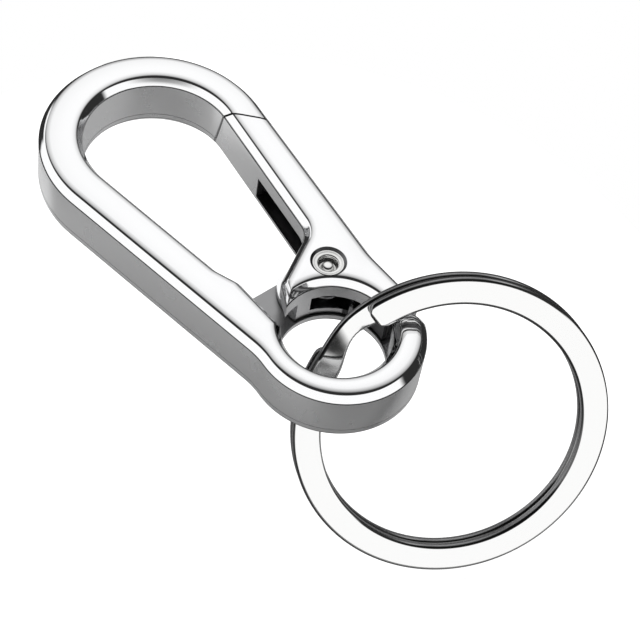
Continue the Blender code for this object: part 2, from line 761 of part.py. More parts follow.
def ring_height(angle):
    """The wire's height over the ring's middle plane. The angle falls from the first end to the second."""
    lift = (RING_WIRE_THICKNESS + RING_TURN_GAP) / 2
    top = RING_JOG_TOP - 2 * math.pi
    bottom = RING_JOG_BOTTOM - 2 * math.pi
    share = min(max((top - angle) / (top - bottom), 0.0), 1.0)
    return lift * math.cos(math.pi * share)


def ring_pinch(angle):
    """How far the wire's inner edge is drawn in where it steps from one turn to the other."""
    away = abs(angle + 2 * math.pi - RING_PINCH_MIDDLE) / RING_PINCH_REACH
    return RING_PINCH * math.cos(math.pi / 2 * min(away, 1.0)) ** 2


def ring_stations():
    """(angle, half width) down the wire, fine through the step, with both ends rounded in plan."""
    half = RING_WIRE_WIDTH / 2
    round_angle = RING_END_ROUND / (RING_OUTER_RADIUS - half)
    first = RING_FIRST_END
    last = RING_SECOND_END - 4 * math.pi
    widths = [half * math.sqrt(1 - (1 - share) ** 2 * END_FULLNESS_SHARE) for share in END_STATION_SHARES]
    ends = list(zip(END_STATION_SHARES, widths))
    stations = [(first - round_angle * share, width) for share, width in ends]
    fine_start = RING_JOG_TOP - 2 * math.pi
    fine_end = RING_PINCH_MIDDLE - RING_PINCH_REACH - 2 * math.pi
    stretches = (
        (first - round_angle, fine_start, RING_STATION_STEP),
        (fine_start, fine_end, RING_FINE_STEP),
        (fine_end, last + round_angle, RING_STATION_STEP),
    )
    for start, end, step_angle in stretches:
        steps = math.ceil((start - end) / step_angle)
        stations += [(start + (end - start) * step / steps, half) for step in range(steps)]
    stations.append((last + round_angle, half))
    stations += [(last + round_angle * share, width) for share, width in reversed(ends)]
    return stations


def make_split_ring(parts):
    """Two turns of flat wire, which step over each other between the two ends."""
    middle = RING_OUTER_RADIUS - RING_WIRE_WIDTH / 2
    shape = bmesh.new()
    rings = []
    for angle, half_width in ring_stations():
        ring = []
        for out, up in wire_section(half_width, half_width - ring_pinch(angle)):
            place = at(direction(angle) * (middle + out), ring_height(angle) + up)
            ring.append(shape.verts.new(place))
        rings.append(ring)
    for low, high in zip(rings, rings[1:]):
        for index, corner in enumerate(low):
            following = (index + 1) % len(low)
            shape.faces.new((corner, low[following], high[following], high[index]))
    shape.faces.new(rings[0][::-1])
    shape.faces.new(rings[-1])
    bmesh.ops.recalc_face_normals(shape, faces=shape.faces)
    mesh = bpy.data.meshes.new("split_ring")
    shape.to_mesh(mesh)
    shape.free()
    ring = new_object("split_ring", mesh, parts)
    ring.data.transform(ring_placing())
    return ring


def ring_placing():
    """Where the ring hangs: its plane crosses the clip's on a line through the eye, and tips about it."""
    along = at(direction(RING_LINE_ANGLE), 0)
    across = at(direction(RING_LINE_ANGLE) / 1j, 0)
    tilt = Matrix.Rotation(RING_TILT, 4, along)
    middle = RING_OUTER_RADIUS - RING_WIRE_WIDTH / 2
    half_chord = math.sqrt(middle**2 - RING_DROP**2)
    centre = at(RING_ANCHOR, 0) + along * half_chord + (tilt @ across) * RING_DROP
    return Matrix.Translation(centre) @ tilt


def main():
    for thing in list(bpy.data.objects):
        bpy.data.objects.remove(thing)
    parts = bpy.data.collections.new("key_ring")
    cutters = bpy.data.collections.new("cutters")
    bpy.context.scene.collection.children.link(parts)
    bpy.context.scene.collection.children.link(cutters)

    openings = make_opening_cutters(cutters)
    frame = make_hook_frame(parts, cutters, openings)
    gate = make_gate(parts, cutters, openings)
    rivet = make_hinge_rivet(parts)
    spring = make_gate_spring(parts)
    ring = make_split_ring(parts)

    clip = bpy.data.objects.new("clip", None)
    clip.location = (LOOP_BAND_MIDDLE, 0, HALF)
    parts.objects.link(clip)
    hinge = at(RIVET, 0)
    finish(frame, make_material("chrome_hook", CHROME), clip, Vector((0, 0, 0)))
    finish(gate, make_material("chrome_gate", CHROME), clip, hinge)
    finish(rivet, make_material("nickel_rivet", RIVET_NICKEL), clip, hinge)
    finish(spring, make_material("spring_wire", SPRING_STEEL), clip, hinge)
    finish(ring, make_material("steel_ring", RING_NICKEL), clip, at(RING_ANCHOR, 0))

    for cutter in cutters.objects:
        cutter.hide_render = True
        cutter.display_type = "WIRE"


main()
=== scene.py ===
"""A chromed key ring: a cast snap hook with a sprung gate, and a flat-wire split ring in its eye."""

import cmath
import math

import bmesh
import bpy
from mathutils import Matrix, Vector


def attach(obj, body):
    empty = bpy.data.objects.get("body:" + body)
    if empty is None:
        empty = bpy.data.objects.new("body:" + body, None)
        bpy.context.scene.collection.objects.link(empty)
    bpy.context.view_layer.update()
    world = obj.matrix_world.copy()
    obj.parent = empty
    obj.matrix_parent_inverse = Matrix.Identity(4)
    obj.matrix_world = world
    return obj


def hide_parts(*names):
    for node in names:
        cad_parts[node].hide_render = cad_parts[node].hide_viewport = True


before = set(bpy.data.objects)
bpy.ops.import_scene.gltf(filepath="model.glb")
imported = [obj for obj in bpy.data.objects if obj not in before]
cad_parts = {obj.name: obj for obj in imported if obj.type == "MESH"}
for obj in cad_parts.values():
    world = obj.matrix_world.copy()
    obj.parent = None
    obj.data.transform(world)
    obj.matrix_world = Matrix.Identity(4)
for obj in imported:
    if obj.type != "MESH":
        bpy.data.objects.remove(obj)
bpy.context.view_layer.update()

# ---------------------------------------------------------------------------------------------------
# The studio
# A light tent round the ring: one broad soft panel behind and above it, a white wall at eye height
# on the camera's side, and black card elsewhere. The metal's standing walls see the floor, a pale
# card with painted shade that greys it towards +X, and a painted pool of light on it that
# brightens the far end of the loop in the metal.
# ---------------------------------------------------------------------------------------------------
CAMERA_PLACE = (0.11389997, -0.08891078, 0.15669653)
CAMERA_AXES = (
    (0.634477106, 0.764519037, 0.113795624),
    (-0.654611365, 0.453204537, 0.605053393),
    (0.411002144, -0.458384434, 0.788010754),
)
CAMERA_LENS = 118.06283
SENSOR_WIDTH = 36.0
NEAR_CLIP = 0.01
FLOOR_HEIGHT = -0.0175
FLOOR_RADIUS = 0.05
FLOOR_MIDDLE = (0.028, 0.0)
FLOOR_SIDES = 96
# Painted shade greys the floor card towards +X, and a painted pool of light brightens it in one place.
FLOOR_SHADE_GREYS = 0.54, 0.34
FLOOR_SHADE_FROM, FLOOR_SHADE_TO = 0.045, 0.065
PAINTED_POOL_PLACE = (-0.017, -0.01, FLOOR_HEIGHT)
PAINTED_POOL_SPAN = 0.015, 0.008
PAINTED_POOL_PALE = 0.95
FLOOR_SEEN = 0.92
PANEL_AZIMUTH = 136.0
PANEL_ELEVATION = 50.0
PANEL_EDGE = 0.73
PANEL_LEVEL = 1.15
WALL_LEVEL = 1.15
WALL_AZIMUTH = 285.0
WALL_ENDS = -0.44, -0.3
WALL_FROM = -0.2, -0.14
WALL_TO = 0.5, 0.38
CARD_LEVEL = 0.03
LAMP_PLACE = (-0.1, 0.15, 0.35)
LAMP_TARGET = (0.03, 0.0, 0.0)
LAMP_SIZE = 0.3
LAMP_POWER = 0.9


class Level:
    """A number that varies over a surface. Arithmetic on it adds Math nodes to its tree."""

    def __init__(self, tree, socket):
        self.tree = tree
        self.socket = socket

    def math(self, operation, *parts):
        node = self.tree.add("ShaderNodeMath", {"operation": operation}, dict(enumerate(parts)))
        return Level(self.tree, node.outputs[0])

    def __add__(self, other):
        return self.math("ADD", self, other)

    def __sub__(self, other):
        return self.math("SUBTRACT", self, other)

    def __rsub__(self, other):
        return self.math("SUBTRACT", other, self)

    def __mul__(self, other):
        return self.math("MULTIPLY", self, other)

    def __abs__(self):
        return self.math("ABSOLUTE", self)

    def most(self, other):
        return self.math("MAXIMUM", self, other)

    def root(self):
        return self.math("SQRT", self)

    def ramp(self, start, end):
        """Rises smoothly from 0 where this is start to 1 where it is end, whichever is the greater."""
        spans = {"From Min": min(start, end), "From Max": max(start, end)}
        levels = {"To Min": 0.0, "To Max": 1.0} if start < end else {"To Min": 1.0, "To Max": 0.0}
        settings = {"interpolation_type": "SMOOTHSTEP"}
        node = self.tree.add("ShaderNodeMapRange", settings, {"Value": self, **spans, **levels})
        return Level(self.tree, node.outputs[0])

    __radd__ = __add__
    __rmul__ = __mul__


class Tree:
    """The node tree of a material or of the world."""

    def __init__(self, owner):
        owner.use_nodes = True
        self.nodes = owner.node_tree.nodes
        self.links = owner.node_tree.links

    def add(self, kind, settings=None, sockets=None):
        """A node with its settings made first, and then its sockets given a value or a link."""
        node = self.nodes.new(kind)
        for name, value in (settings or {}).items():
            setattr(node, name, value)
        for name, value in (sockets or {}).items():
            self.join(value, node.inputs[name])
        return node

    def join(self, value, socket):
        if isinstance(value, Level):
            self.links.new(value.socket, socket)
        elif isinstance(value, bpy.types.NodeSocket):
            self.links.new(value, socket)
        else:
            socket.default_value = value

    def level(self, kind, output, settings=None, sockets=None):
        return Level(self, self.add(kind, settings, sockets).outputs[output])

    def blend(self, share, first, second):
        """A colour that goes from the first to the second as the share goes from 0 to 1."""
        pair = [(*colour, 1) if isinstance(colour, tuple) else colour for colour in (first, second)]
        node = self.add("ShaderNodeMix", {"data_type": "RGBA"}, {0: share, 6: pair[0], 7: pair[1]})
        return node.outputs[2]


def direction(angle):
    """A plan direction as a complex number: X is real, Y imaginary."""
    return cmath.rect(1, angle)


def aim(azimuth, elevation):
    """The direction at an azimuth from +X and an elevation, in degrees."""
    flat = direction(math.radians(azimuth)) * math.cos(math.radians(elevation))
    return Vector((flat.real, flat.imag, math.sin(math.radians(elevation))))


def show(thing):
    bpy.context.scene.collection.objects.link(thing)
    return thing


def make_camera():
    data = bpy.data.cameras.new("camera")
    data.lens = CAMERA_LENS
    data.sensor_width = SENSOR_WIDTH
    data.clip_start = NEAR_CLIP
    camera = show(bpy.data.objects.new("camera", data))
    turned = Matrix(CAMERA_AXES).transposed().to_4x4()
    camera.matrix_world = Matrix.Translation(CAMERA_PLACE) @ turned
    bpy.context.scene.camera = camera


def make_world():
    """The tent's walls, by direction. The camera sees plain white."""
    world = bpy.data.worlds.new("tent")
    bpy.context.scene.world = world
    tree = Tree(world)
    background = tree.nodes["Background"]
    seen = tree.add("ShaderNodeTexCoord").outputs["Generated"]
    toward = {0: seen, 1: aim(PANEL_AZIMUTH, PANEL_ELEVATION)}
    near_panel = tree.level("ShaderNodeVectorMath", "Value", {"operation": "DOT_PRODUCT"}, toward)
    height = tree.level("ShaderNodeSeparateXYZ", "Z", None, {0: seen})
    panel = (near_panel - PANEL_EDGE) * (PANEL_LEVEL / (1 - PANEL_EDGE))
    toward = {0: seen, 1: aim(WALL_AZIMUTH, 0.0)}
    front = tree.level("ShaderNodeVectorMath", "Value", {"operation": "DOT_PRODUCT"}, toward)
    wall = height.ramp(*WALL_FROM) * height.ramp(*WALL_TO) * front.ramp(*WALL_ENDS) * WALL_LEVEL
    tent = panel.most(wall).most(CARD_LEVEL)
    eye = tree.level("ShaderNodeLightPath", "Is Camera Ray")
    tree.join(tent * (1.0 - eye) + eye, background.inputs["Strength"])
    background.inputs["Color"].default_value = (1, 1, 1, 1)


def make_floor():
    """A round of pale card, with painted shade and a painted pool of light for the metal to mirror. The
    camera sees it white, as it sees the tent behind it.
    """
    shape = bmesh.new()
    bmesh.ops.create_circle(shape, cap_ends=True, segments=FLOOR_SIDES, radius=FLOOR_RADIUS)
    bmesh.ops.translate(shape, verts=shape.verts, vec=(*FLOOR_MIDDLE, FLOOR_HEIGHT))
    mesh = bpy.data.meshes.new("floor")
    shape.to_mesh(mesh)
    shape.free()
    floor = show(bpy.data.objects.new("floor", mesh))
    material = bpy.data.materials.new("pale_card")
    tree = Tree(material)
    tree.nodes.clear()
    place = tree.add("ShaderNodeTexCoord").outputs["Object"]
    across = tree.level("ShaderNodeSeparateXYZ", "X", None, {0: place})
    # Painted shade and a painted pool of light in the card's colour, which the metal mirrors.
    pale, grey, painted_pool = ((tone,) * 3 for tone in (*FLOOR_SHADE_GREYS, PAINTED_POOL_PALE))
    painted_shade_grey = tree.blend(across.ramp(FLOOR_SHADE_FROM, FLOOR_SHADE_TO), pale, grey)
    pair = {0: place, 1: PAINTED_POOL_PLACE}
    away = tree.level("ShaderNodeVectorMath", "Value", {"operation": "DISTANCE"}, pair)
    colour = tree.blend(away.ramp(*PAINTED_POOL_SPAN), painted_shade_grey, painted_pool)
    card = tree.add("ShaderNodeBsdfDiffuse", None, {"Color": colour})
    white = tree.add("ShaderNodeEmission", None, {"Color": (1, 1, 1, 1), "Strength": FLOOR_SEEN})
    seen = tree.add("ShaderNodeAddShader", None, {0: card.outputs[0], 1: white.outputs[0]})
    eye = tree.add("ShaderNodeLightPath").outputs["Is Camera Ray"]
    mix = tree.add("ShaderNodeMixShader", None, {0: eye, 1: card.outputs[0], 2: seen.outputs[0]})
    tree.add("ShaderNodeOutputMaterial", None, {"Surface": mix.outputs[0]})
    mesh.materials.append(material)


def make_lamp(name, place, target, size, power):
    """A soft square lamp. The metal mirrors the tent's walls, and not this lamp."""
    data = bpy.data.lights.new(name, "AREA")
    data.size = size
    data.energy = power
    lamp = show(bpy.data.objects.new(name, data))
    aimed = (Vector(target) - Vector(place)).to_track_quat("-Z", "Y")
    lamp.matrix_world = Matrix.LocRotScale(Vector(place), aimed, None)
    lamp.visible_glossy = False


bpy.context.scene.view_settings.view_transform = "Standard"
make_camera()
make_world()
make_floor()
make_lamp("overhead_lamp", LAMP_PLACE, LAMP_TARGET, LAMP_SIZE, LAMP_POWER)

# ---------------------------------------------------------------------------------------------------
# The hook's casting
# Zinc, die cast flat and polished, then chromed: a loop, a spine, an eye, and a thin web under the
# gate's foot. Its faces are crowned and chamfered, and its standing walls keep the die's satin skin.
# ---------------------------------------------------------------------------------------------------
MM = 0.001
CASTING_PLACE = Vector((8.755, 0.0, 3.2))
HALF = 3.2
EDGE = (
    (0.0, 1.05),
    (0.012, 0.95),
    (0.045, 0.865),
    (0.09, 0.79),
    (0.3, 0.52),
    (0.49, 0.25),
    (0.55, 0.175),
    (0.63, 0.12),
    (0.74, 0.08),
    (0.86, 0.048),
    (1.0, 0.02),
    (1.15, 0.0),
)
FLARE = EDGE[-1][0]
WALL_TOP = HALF - EDGE[0][1]
PAST = 1.0
FAR = 14.0
ARC_STEP = math.radians(3)
SMOOTH_TO = math.radians(38)
MERGE = 0.002
TRIES = (False, 0.0), (True, 0.0), (True, 0.0004), (True, -0.0004), (True, 0.0009), (True, -0.0009)
SOUND_SHARES = {"DIFFERENCE": (0.2, 1.0001), "INTERSECT": (0.1, 1.0001), "UNION": (0.9999, 2.0)}
MICRON = 0.000001
SKIN_CLEAR = 0.02
CHROME = (0.86, 0.862, 0.868)
# Painted shade: a dark line along each chamfer's foot, standing in for its dark reflection.
PAINTED_EDGE_SHADE = (0.2, 0.2, 0.2)
EDGE_SHADE_FROM = 0.1, 0.2
EDGE_SHADE_TO = 0.46, 0.34
SATIN_TILT = 0.35, 0.12
FINE_DETAIL = 4.0
SMUDGE_SIZE = 3.0
SMUDGE_SPREAD = 0.4, 0.75
SCUFF_SIZE = 0.35
SCUFF_SPREAD = 0.62, 0.8
MIRROR_ROUGH = 0.05
SATIN_ROUGH = 0.2
SMUDGE_ROUGH = 0.035
SCUFF_ROUGH = 0.03
RECESS_ROUGH = 0.3
WAVE_SIZE, WAVE_HEIGHT = 5.0, 9.0
GRAIN_SIZE, GRAIN_HEIGHT = 0.12, 0.6
# Painted shade on the web's top face, under the gate's foot.
WEB_PAINTED_SHADE = (0.34, 0.34, 0.345)
WEB_SKIN_AND_SHADE_REACH = 0.06

LOOP_RADIUS = 11.36
LOOP_CENTRE = 0.6 - 0.25j
SPINE_TAPER = math.radians(7.6)
GATE_TAPER = math.radians(8.6)
FLARE_RADIUS = 8.0
EYE = 28.2 - 0.5j
EYE_RADIUS = 8.15
EYE_RIM_CENTRE = EYE + 0.1 + 0.15j
EYE_LOWER_TAPER = math.radians(7.437)
EYE_HOLE_RADIUS = 5.2
WEB_HOLE_RADIUS = 5.05
WEB_HOLE_SHIFT = 0.1
WEB_TOP = -1.7
WEB_EDGE_X = 18.6
OPENING_RADIUS = 7.3
OPENING_CENTRE = 0.55
SPINE_INNER_TAPER = math.radians(7.25)
GATE_INNER_TAPER = math.radians(9.5)
SHOULDER_X = 16.4
SHOULDER_END = 18.8 - 4.45j
SHOULDER_RADIUS = 1.6
CORNER_RADIUS = 0.4
FOOT_EDGE_ANGLE = math.radians(61)
FOOT_END = 20.98 - 1.34j
FOOT_END_ANGLE = math.radians(27)
FOOT_END_RADIUS = 1.25
FOOT_FILLET_RADIUS = 2.6
FOOT_ZONE_MARGIN = 0.4
FOOT_ZONE_REACH = 3.5
TIP_SEAM = 2.1 + 7.74j
TIP_SEAM_ANGLE = math.radians(42.7)
SEAM_LEAN = 0.2
TAIL_SEAM_ANGLE = math.radians(72)
FRAME_END_RADIUS = 1.2
FRAME_END_INSET = 0.4
FRAME_END_TRIM = 0.1
FRAME_END_LAND = 0.05
FRAME_END_SLOPES = math.radians(25), math.radians(15)
RIVET = 21.9 + 3.6j
RIVET_SEAT_RADIUS = 1.14
RIVET_SEAT_SINK = 1.64
RIVET_SINK_DEPTH = 0.55


def line(point, angle):
    return point, direction(angle)


def tangent_line(centre, radius, angle):
    """The line that touches a circle at an angle, as a point and a direction."""
    return centre + radius * direction(angle), direction(angle + math.pi / 2)


def cross(first, second):
    return first.real * second.imag - first.imag * second.real


def crossing(first, second):
    start, along = first
    other, across = second
    return start + along * (cross(other - start, across) / cross(along, across))


def flat_shape(shape, corners, height, grow=0.0):
    """A flat face with an arc spun at each rounded corner, and straight edges between the arcs."""
    stretches = []
    for index, (corner, radius) in enumerate(corners):
        before = corner - corners[index - 1][0]
        after = corners[(index + 1) % len(corners)][0] - corner
        turn = cmath.phase(after / before)
        outward = before / abs(before) / 1j
        onward = after / abs(after) / 1j
        miter = (outward + onward) / (1 + (outward * onward.conjugate()).real)
        swing = math.copysign(radius, turn)
        centre = corner - miter * swing
        start = centre + outward * (swing + grow) if radius else corner + miter * grow
        first = last = shape.verts.new((start.real, start.imag, height))
        if radius and abs(swing + grow) > MERGE:
            last = bmesh.ops.spin(
                shape,
                geom=[first],
                cent=(centre.real, centre.imag, height),
                axis=(0, 0, 1),
                angle=turn,
                steps=max(1, math.ceil(abs(turn) / ARC_STEP)),
            )["geom_last"][0]
        stretches.append((first, last))
    for (_, last), (first, _) in zip(stretches, stretches[1:] + stretches[:1]):
        shape.edges.new((last, first))
    bmesh.ops.remove_doubles(shape, verts=shape.verts, dist=MERGE)
    return bmesh.ops.contextual_create(shape, geom=shape.edges[:])["faces"][0]


def draw_out(shape, face, moved):
    """Draws a face out to a new place, leaving walls behind it, and returns the moved face."""
    drawn = bmesh.ops.extrude_face_region(shape, geom=[face, *face.edges])["geom"]
    corners = [part for part in drawn if isinstance(part, bmesh.types.BMVert)]
    bmesh.ops.transform(shape, matrix=moved, verts=corners)
    return next(part for part in drawn if isinstance(part, bmesh.types.BMFace))


def rise(shape, face, height):
    return draw_out(shape, face, Matrix.Translation((0, 0, height)))


def step_out(shape, face, levels):
    """Insets a face again and again as it moves out, so that its edge follows (inset, drop) levels."""
    for (inset, drop), (next_inset, next_drop) in zip(levels, levels[1:]):
        bmesh.ops.inset_region(
            shape,
            faces=[face],
            thickness=abs(next_inset - inset),
            depth=abs(next_drop - drop),
            use_boundary=True,
            use_even_offset=True,
        )


def outward(shape):
    bmesh.ops.recalc_face_normals(shape, faces=shape.faces)


def solid(name, shape):
    """The finished shape as an object, still in millimetres from the casting's own origin."""
    outward(shape)
    mesh = bpy.data.meshes.new(name)
    shape.to_mesh(mesh)
    shape.free()
    return show(bpy.data.objects.new(name, mesh))


def cast_plate(name, corners):
    """A plate of the casting's thickness, with both faces crowned and chamfered all round."""
    shape = bmesh.new()
    low = flat_shape(shape, corners, -WALL_TOP)
    high = rise(shape, low, 2 * WALL_TOP)
    outward(shape)
    for face in (low, high):
        step_out(shape, face, EDGE)
    return solid(name, shape)


def block(name, corners, bottom, top, grow=0.0):
    shape = bmesh.new()
    rise(shape, flat_shape(shape, corners, bottom, grow), top - bottom)
    return solid(name, shape)


def flared_block(name, corners, end, side):
    """A block from past one face of the casting to a level inside, flared to the face's round edge."""
    shape = bmesh.new()
    face = flat_shape(shape, corners, side * (HALF + PAST), FLARE)
    face = rise(shape, face, -side * PAST)
    outward(shape)
    step_out(shape, face, EDGE[::-1])
    rise(shape, face, end - side * WALL_TOP)
    return solid(name, shape)


def tapered_block(name, centre, radii, levels):
    """A round block between two levels, with a radius at each."""
    shape = bmesh.new()
    bmesh.ops.create_cone(
        shape,
        cap_ends=True,
        segments=round(2 * math.pi / ARC_STEP),
        radius1=radii[0],
        radius2=radii[1],
        depth=levels[1] - levels[0],
    )
    bmesh.ops.translate(shape, verts=shape.verts, vec=(centre.real, centre.imag, sum(levels) / 2))
    return solid(name, shape)


def round_corners(centre, radius):
    """A circle, as a square whose corners are rounded until they meet."""
    return [(centre + radius * corner, radius) for corner in (-1 - 1j, 1 - 1j, 1 + 1j, -1 + 1j)]


def volume(piece):
    shape = bmesh.new()
    shape.from_mesh(piece.data)
    held = shape.calc_volume()
    shape.free()
    return held


def combine(target, other, operation):
    """Cuts, joins or keeps what is common, and merges the doubled points that this leaves. Where the
    result isn't closed, or too much of it is gone, the shapes' own crossings are solved too, and then
    the other shape is moved by a hair."""
    before = volume(target)
    least, most = SOUND_SHARES[operation]
    modifier = target.modifiers.new("combine", "BOOLEAN")
    modifier.operation = operation
    modifier.object = other
    for own_crossings, nudge in TRIES:
        modifier.use_self = own_crossings
        other.location = nudge, nudge, 0
        bpy.context.view_layer.update()
        shaped = target.evaluated_get(bpy.context.evaluated_depsgraph_get())
        mesh = bpy.data.meshes.new_from_object(shaped)
        shape = bmesh.new()
        shape.from_mesh(mesh)
        bmesh.ops.remove_doubles(shape, verts=shape.verts, dist=MERGE)
        closed = all(edge.is_manifold for edge in shape.edges)
        sound = closed and least < shape.calc_volume() / before < most
        shape.to_mesh(mesh)
        shape.free()
        if sound:
            break
    target.modifiers.clear()
    target.data = mesh
    other.location = 0, 0, 0


def cut(target, *tools):
    for tool in tools:
        combine(target, tool, "DIFFERENCE")


def clear_away(*tools):
    for tool in tools:
        bpy.data.objects.remove(tool)


def spine_line():
    return tangent_line(LOOP_CENTRE, LOOP_RADIUS, SPINE_TAPER - math.pi / 2)


def gate_outer_line():
    return tangent_line(LOOP_CENTRE, LOOP_RADIUS, math.pi / 2 - GATE_TAPER)


def gate_inner_line():
    return tangent_line(OPENING_CENTRE, OPENING_RADIUS, math.pi / 2 - GATE_INNER_TAPER)


def foot_edge_line():
    return line(FOOT_END, math.pi - FOOT_EDGE_ANGLE)


def clip_outline():
    far_end = line(LOOP_CENTRE - LOOP_RADIUS, math.pi / 2)
    eye_low = tangent_line(EYE_RIM_CENTRE, EYE_RADIUS, -EYE_LOWER_TAPER - math.pi / 2)
    eye_end = line(EYE_RIM_CENTRE + EYE_RADIUS, math.pi / 2)
    eye_top = line(EYE_RIM_CENTRE + EYE_RADIUS * 1j, 0)
    return [
        (crossing(far_end, spine_line()), LOOP_RADIUS),
        (crossing(spine_line(), eye_low), FLARE_RADIUS),
        (crossing(eye_low, eye_end), EYE_RADIUS),
        (crossing(eye_end, eye_top), EYE_RADIUS),
        (crossing(eye_top, gate_outer_line()), FLARE_RADIUS),
        (crossing(gate_outer_line(), far_end), LOOP_RADIUS),
    ]


def loop_corners():
    far_end = line(OPENING_CENTRE - OPENING_RADIUS, math.pi / 2)
    spine = tangent_line(OPENING_CENTRE, OPENING_RADIUS, SPINE_INNER_TAPER - math.pi / 2)
    shoulder = line(SHOULDER_X, math.pi / 2)
    return [
        (crossing(gate_inner_line(), far_end), OPENING_RADIUS),
        (crossing(far_end, spine), OPENING_RADIUS),
        (crossing(spine, shoulder), SHOULDER_RADIUS),
    ]


def upper_opening():
    hole_side = line(EYE - EYE_HOLE_RADIUS / 2, math.pi / 2)
    return loop_corners() + [
        (SHOULDER_END, SHOULDER_RADIUS),
        (crossing(line(SHOULDER_END, 0), hole_side), 0.0),
        (FOOT_END + FOOT_ZONE_REACH * direction(-FOOT_END_ANGLE), 0.0),
        (FOOT_END, FOOT_END_RADIUS),
        (crossing(foot_edge_line(), gate_inner_line()), FOOT_FILLET_RADIUS),
    ]


def lower_opening():
    web_edge = line(WEB_EDGE_X, math.pi / 2)
    return loop_corners() + [
        (crossing(line(SHOULDER_END, 0), web_edge), CORNER_RADIUS),
        (crossing(web_edge, foot_edge_line()), CORNER_RADIUS),
        (crossing(foot_edge_line(), gate_inner_line()), FOOT_FILLET_RADIUS),
    ]


def sharp(*corners):
    return [(corner, 0.0) for corner in corners]


def tip_zone():
    """Round the gate's bar: out along the seam at its tip, and back inside the loop."""
    seam = direction(TIP_SEAM_ANGLE)
    return [TIP_SEAM + FAR * seam, TIP_SEAM - OPENING_RADIUS / 2 * seam, FOOT_END - OPENING_RADIUS]


def lean_seam(zone):
    """Leans the seam at the tip, so that it meets the inner wall further round the loop at the back."""
    touch, along = gate_inner_line()
    out = direction(TIP_SEAM_ANGLE)
    for point in zone.data.vertices:
        offset = complex(point.co.x, point.co.y) - TIP_SEAM
        if abs(cross(offset, out)) < PAST:
            shift = along * SEAM_LEAN * (HALF - point.co.z)
            point.co.x += shift.real
            point.co.y += shift.imag


def foot_zone():
    """Round the gate's foot: under its end, through the eye's hole, and out along the tail's seam."""
    tail = direction(TAIL_SEAM_ANGLE)
    under = FOOT_END - FOOT_ZONE_MARGIN * 1j
    past_end = under + FOOT_ZONE_REACH * direction(-FOOT_END_ANGLE)
    return [under, past_end, EYE + EYE_HOLE_RADIUS / 2 * tail, EYE + FAR * tail]


def make_openings():
    """The shapes of the two openings, above the web's top and below it."""
    web_hole = EYE - WEB_HOLE_SHIFT * (RIVET - EYE) / abs(RIVET - EYE)
    return [
        flared_block("opening_above", upper_opening(), WEB_TOP, 1),
        flared_block("opening_below", lower_opening(), WEB_TOP, -1),
        flared_block("eye_above", round_corners(EYE, EYE_HOLE_RADIUS), WEB_TOP, 1),
        flared_block("eye_below", round_corners(web_hole, WEB_HOLE_RADIUS), WEB_TOP, -1),
    ]


def frame_end():
    """What rounds the band's free end, where the gate's tail meets it."""
    radial = direction(TAIL_SEAM_ANGLE)
    inner = EYE_HOLE_RADIUS + FRAME_END_INSET
    outer = EYE_RADIUS - FRAME_END_INSET
    reach = 2 * FRAME_END_RADIUS
    inner_reach = inner - reach * math.tan(FRAME_END_SLOPES[0])
    outer_reach = outer + reach * math.tan(FRAME_END_SLOPES[1])
    places = (
        (inner_reach - PAST, -reach, 0.0),
        (inner_reach, -reach, 0.0),
        (inner, -FRAME_END_TRIM, FRAME_END_RADIUS),
        (outer, -FRAME_END_TRIM, FRAME_END_RADIUS),
        (outer_reach, -reach, 0.0),
        (outer_reach + PAST, -reach, 0.0),
        (outer_reach + PAST, PAST, 0.0),
        (inner_reach - PAST, PAST, 0.0),
    )
    corners = [(EYE + radial * (out + around * 1j), radius) for out, around, radius in places]
    return flared_block("frame_end", corners, WEB_TOP + FRAME_END_LAND, 1)


def make_casting(openings):
    casting = cast_plate("hook_casting", clip_outline())
    past = HALF + PAST
    web_edge = complex(WEB_EDGE_X, FOOT_END.imag)
    bar = sharp(*tip_zone(), web_edge, web_edge + FAR * 1j)
    start = web_edge - PAST
    sink_flare = (RIVET_SEAT_SINK - RIVET_SEAT_RADIUS) / RIVET_SINK_DEPTH * PAST
    foot = sharp(start + FAR * 1j, start - FOOT_ZONE_MARGIN * 1j, *foot_zone())
    tools = (
        block("gate_bar_space", bar, -past, past),
        block("gate_foot_space", foot, WEB_TOP, past),
        tapered_block("rivet_seat", RIVET, (RIVET_SEAT_RADIUS, RIVET_SEAT_RADIUS), (-past, past)),
        tapered_block(
            "rivet_tail_sink",
            RIVET,
            (RIVET_SEAT_SINK + sink_flare, RIVET_SEAT_RADIUS),
            (-past, RIVET_SINK_DEPTH - HALF),
        ),
        frame_end(),
    )
    lean_seam(tools[0])
    cut(casting, *openings, *tools)
    clear_away(*tools)
    return casting


def new_metal(name, colour):
    """A metal with its colour, and its tree with the shader, for its maker to finish."""
    material = bpy.data.materials.new(name)
    tree = Tree(material)
    shader = tree.nodes["Principled BSDF"]
    shader.inputs["Base Color"].default_value = (*colour, 1)
    shader.inputs["Metallic"].default_value = 1.0
    return material, tree, shader


def bump(tree, height):
    """The shader's normal, over a relief whose height is in microns."""
    return tree.add("ShaderNodeBump", None, {"Distance": MICRON, "Height": height}).outputs["Normal"]


def noise(tree, place, wavelength, detail=2.0):
    sockets = {"Vector": place, "Scale": 1 / (wavelength * MM), "Detail": detail}
    return tree.level("ShaderNodeTexNoise", 0, None, sockets)


def plan_distance(tree, place, start, way):
    """How far a point lies from another along a way in plan, in millimetres."""
    start = (CASTING_PLACE + Vector((start.real, start.imag, 0))) * MM
    offset = tree.add("ShaderNodeVectorMath", {"operation": "SUBTRACT"}, {0: place, 1: start})
    pair = {0: offset.outputs[0], 1: Vector((way.real, way.imag, 0)) / MM}
    return tree.level("ShaderNodeVectorMath", "Value", {"operation": "DOT_PRODUCT"}, pair)


def over_middle(tree, place):
    """The height over the casting's middle plane, in millimetres."""
    return tree.level("ShaderNodeSeparateXYZ", "Z", None, {0: place}) * (1 / MM) - CASTING_PLACE.z


def within(level, low, high, reach):
    """1 between two levels and a little past them, and 0 from that reach on."""
    return level.ramp(low - reach, low - SKIN_CLEAR) * level.ramp(high + reach, high + SKIN_CLEAR)


